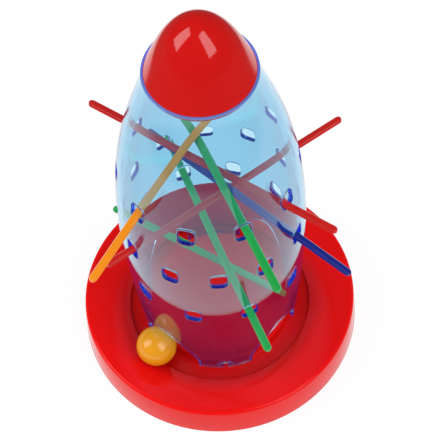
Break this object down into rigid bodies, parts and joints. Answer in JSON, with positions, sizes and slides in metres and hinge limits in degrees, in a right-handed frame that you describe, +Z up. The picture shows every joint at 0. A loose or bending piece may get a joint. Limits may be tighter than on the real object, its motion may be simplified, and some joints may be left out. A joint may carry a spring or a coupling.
{
  "type": "ball drop game",
  "caption": "Rocket-shaped ball drop game: round tray, clear hollow body with rings of holes, domed nose cap, loose sticks through the holes and a dropped ball.",
  "frame": {"origin": "middle of the tray's foot, on the surface that it stands on", "axes": "+Z up along the body, the picture's viewer towards -Y"},
  "size_m": [0.1418, 0.1472, 0.251],
  "materials": {
    "tray_red": "glossy moulded",
    "clear_blue": "clear tinted, glossy",
    "nose_red": "glossy moulded",
    "ball_orange": "glossy",
    "stick_orange": "smooth moulded",
    "stick_green": "smooth moulded",
    "stick_red": "smooth moulded",
    "stick_blue": "smooth moulded"
  },
  "bodies": {
    "tray": {"base_tray": "tray_red"},
    "body": {"rocket_body": "clear_blue"},
    "nose": {"nose_cone": "nose_red"},
    "ball": {"ball": "ball_orange"},
    "stick_orange": {"stick_orange": "stick_orange"},
    "stick_green_a": {"stick_green_a": "stick_green"},
    "stick_green_b": {"stick_green_b": "stick_green"},
    "stick_green_c": {"stick_green_c": "stick_green"},
    "stick_red_a": {"stick_red_a": "stick_red"},
    "stick_red_b": {"stick_red_b": "stick_red"},
    "stick_blue": {"stick_blue": "stick_blue"}
  },
  "joints": [
    {"name": "body_lift", "type": "slide", "parent": "tray", "child": "body", "axis": [0, 0, 1], "range_m": [0, 0.08]},
    {"name": "nose_lift", "type": "slide", "parent": "body", "child": "nose", "axis": [0, 0, 1], "range_m": [0, 0.06]},
    {"name": "stick_orange_pull", "type": "slide", "parent": "body", "child": "stick_orange", "axis": [-0.5676, -0.8225, -0.0371], "range_m": [0, 0.107]},
    {"name": "stick_green_a_pull", "type": "slide", "parent": "body", "child": "stick_green_a", "axis": [0.3213, -0.9439, 0.0764], "range_m": [0, 0.109]},
    {"name": "stick_green_b_pull", "type": "slide", "parent": "body", "child": "stick_green_b", "axis": [0.3189, -0.9478, -0.001], "range_m": [0, 0.125]},
    {"name": "stick_green_c_pull", "type": "slide", "parent": "body", "child": "stick_green_c", "axis": [-0.6661, 0.0255, 0.7454], "range_m": [0, 0.129]},
    {"name": "stick_red_a_pull", "type": "slide", "parent": "body", "child": "stick_red_a", "axis": [0.8009, -0.5989, -0.001], "range_m": [0, 0.12]},
    {"name": "stick_red_b_pull", "type": "slide", "parent": "body", "child": "stick_red_b", "axis": [0.8586, 0.5118, 0.0292], "range_m": [0, 0.114]},
    {"name": "stick_blue_pull", "type": "slide", "parent": "body", "child": "stick_blue", "axis": [0.7652, -0.548, -0.3378], "range_m": [0, 0.098]},
    {"name": "ball_away", "type": "slide", "parent": "tray", "child": "ball", "axis": [-0.6735, -0.6064, 0.4226], "range_m": [0, 0.06]}
  ]
}
